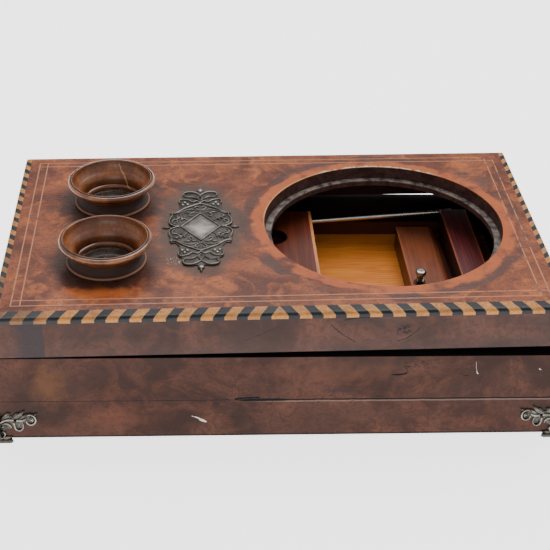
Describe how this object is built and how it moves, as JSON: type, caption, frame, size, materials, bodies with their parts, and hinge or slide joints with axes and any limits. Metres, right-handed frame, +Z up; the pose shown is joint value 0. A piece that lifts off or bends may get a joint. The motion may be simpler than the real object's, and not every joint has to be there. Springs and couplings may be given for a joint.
{
  "type": "stereo graphoscope",
  "caption": "Folded table-top stereo graphoscope: veneered box with a hinged lens panel, two turned eyepieces, a round lens opening and a sliding card carriage.",
  "frame": {"origin": "on the table, under the middle of the box", "axes": "+X along the box away from the lid hinge, +Y to the back, +Z up"},
  "size_m": [0.366, 0.2186, 0.1147],
  "materials": {
    "burr_veneer": "waxed burr walnut veneer, worn",
    "plain_wood": "clean oiled softwood",
    "dark_wood": "dark stained hardwood",
    "rope_inlay": "ebony and boxwood stripes",
    "stringing": "boxwood",
    "turned_wood": "french polished turned hardwood",
    "cast_mount": "tarnished cast metal",
    "brass": "aged brass",
    "steel": "bright steel",
    "lens_glass": "dusty clear glass"
  },
  "bodies": {
    "case": {"bottom_board": "plain_wood", "card_store_sides": "plain_wood", "case_hinge_leaf_back": "brass", "case_hinge_leaf_front": "brass", "case_hinge_screws": "brass", "deck_hinge_leaves": "brass", "foot_back_left": "cast_mount", "foot_back_right": "cast_mount", "foot_front_left": "cast_mount", "foot_front_right": "cast_mount", "foot_pins": "brass", "friction_plate": "brass", "hinge_pins": "brass", "left_deck": "dark_wood", "plinth_back_board": "burr_veneer", "plinth_front_board": "burr_veneer", "plinth_left_board": "burr_veneer", "plinth_right_board": "burr_veneer", "strut_rack": "dark_wood", "tray_back_board": "burr_veneer", "tray_floor": "plain_wood", "tray_front_board": "burr_veneer", "tray_left_board": "burr_veneer", "tray_right_board": "burr_veneer"},
    "lens_panel": {"eyepiece_cup_back": "turned_wood", "eyepiece_cup_front": "turned_wood", "eyepiece_lens_back": "lens_glass", "eyepiece_lens_front": "lens_glass", "lens_board": "burr_veneer", "lens_retainers": "brass", "lid_back_rail": "burr_veneer", "lid_front_rail": "burr_veneer", "lid_hinge_leaf_back": "brass", "lid_hinge_leaf_front": "brass", "lid_hinge_screws": "brass", "lid_left_rail": "burr_veneer", "lid_right_rail": "burr_veneer", "pierced_mount": "cast_mount", "rope_inlay_front": "rope_inlay", "rope_inlay_left": "rope_inlay", "rope_inlay_right": "rope_inlay", "stringing_inner": "stringing", "stringing_outer": "stringing", "strut_bracket": "brass", "strut_pin": "brass"},
    "prop_strut": {"prop_strut": "dark_wood"},
    "sight_board": {"sight_board": "dark_wood", "sight_board_lipping": "stringing", "sight_hinge_leaves": "brass"},
    "carriage": {"button_bush": "brass", "card_rest_ferrules": "brass", "carriage_bed": "dark_wood", "carriage_front_rail": "dark_wood", "carriage_rear_bar": "dark_wood", "carriage_screws": "steel", "carriage_tongue": "dark_wood"},
    "release_button": {"button_spring": "steel", "friction_shoe": "brass", "release_button": "steel"},
    "card_rest": {"card_rest_wire": "steel"}
  },
  "joints": [
    {"name": "lens_panel_hinge", "type": "hinge", "parent": "case", "child": "lens_panel", "pos_m": [-0.18, 0, 0.06525], "axis": [0, -1, 0], "range_deg": [-1.11, 88.89]},
    {"name": "strut_pivot", "type": "hinge", "parent": "lens_panel", "child": "prop_strut", "pos_m": [-0.11822, 0, 0.07745], "axis": [0, 1, 0], "range_deg": [-1.59, 127.09]},
    {"name": "sight_board_hinge", "type": "hinge", "parent": "case", "child": "sight_board", "pos_m": [-0.0663, 0, 0.0647], "axis": [0, -1, 0], "range_deg": [-1.11, 88.89]},
    {"name": "carriage_slide", "type": "slide", "parent": "case", "child": "carriage", "axis": [1, 0, 0], "range_m": [-0.065, 0.015]},
    {"name": "button_press", "type": "slide", "parent": "carriage", "child": "release_button", "axis": [0, 0, -1], "range_m": [0, 0.0035], "stiffness_N_per_m": 900, "deforming": ["button_spring"]},
    {"name": "card_rest_pivot", "type": "hinge", "parent": "carriage", "child": "card_rest", "pos_m": [0.141, 0, 0.0607], "axis": [0, 1, 0], "range_deg": [-1.31, 105]}
  ],
  "couplings": [
    {"joint": "strut_pivot", "follows": "lens_panel_hinge", "ratio": 1.4298},
    {"joint": "sight_board_hinge", "follows": "lens_panel_hinge", "ratio": 1},
    {"joint": "card_rest_pivot", "follows": "lens_panel_hinge", "ratio": 1.1812}
  ]
}
